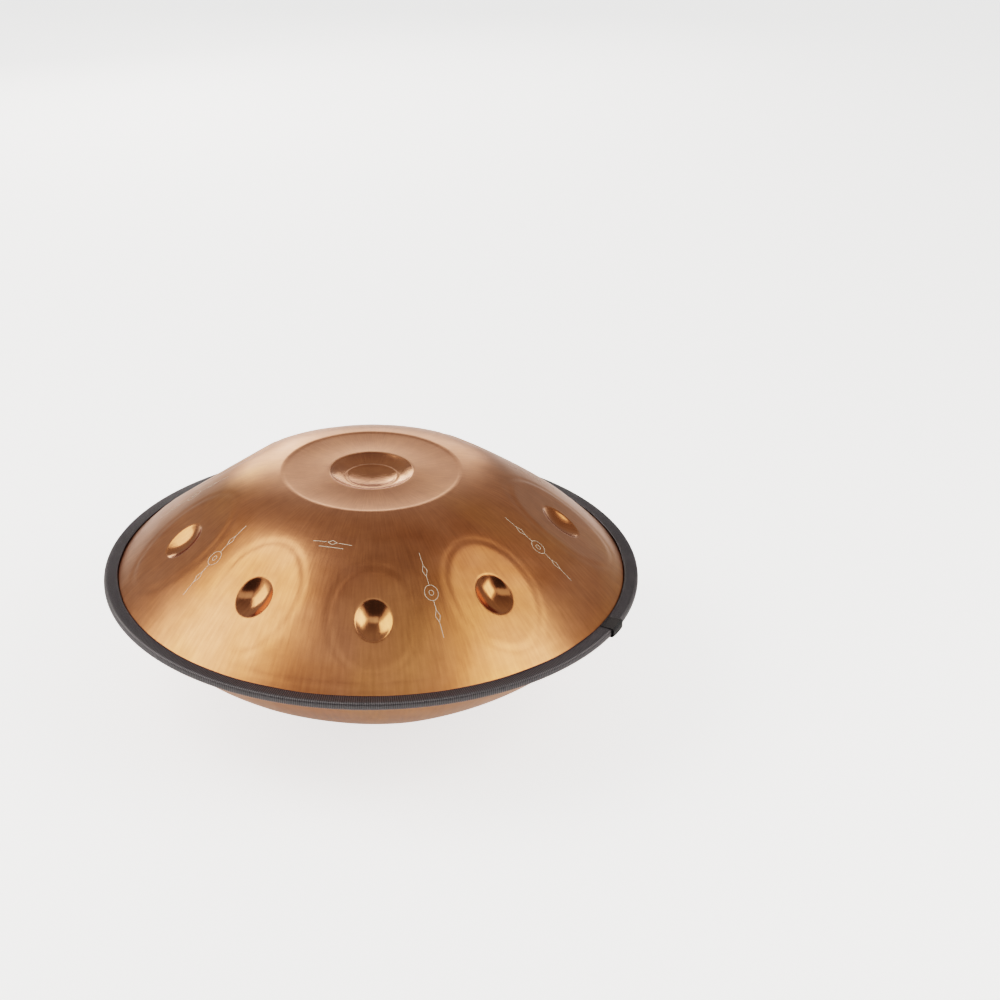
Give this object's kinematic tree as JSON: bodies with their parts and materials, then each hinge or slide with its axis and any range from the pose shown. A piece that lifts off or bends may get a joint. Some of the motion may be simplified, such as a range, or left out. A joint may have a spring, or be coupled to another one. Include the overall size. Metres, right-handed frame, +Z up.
{
  "type": "handpan",
  "caption": "Handpan: a domed steel hand drum with a dished central note, a ring of dimpled oval tone fields, a plain lower dome and a ribbed band over the rim joint.",
  "frame": {"origin": "middle of the flat crown of the lower shell, which the instrument rests on", "axes": "+Z up through the central note; -Y towards the smallest tone field; +X to the right of it"},
  "size_m": [0.5356, 0.5355, 0.2315],
  "materials": {
    "steel": "satin heat-coloured bronze brown, finely brushed",
    "glue": "cured adhesive",
    "rubber": "matte",
    "webbing": "ribbed woven band, black with a low sheen",
    "label": "dense woven label",
    "thread": "black polyester thread, low sheen"
  },
  "bodies": {
    "root": {"top_shell": "steel", "bottom_shell": "steel", "rim_adhesive": "glue", "edge_channel": "rubber", "band_adhesive": "glue", "rim_webbing": "webbing", "band_tag": "label", "tag_stitches": "thread"}
  },
  "joints": []
}
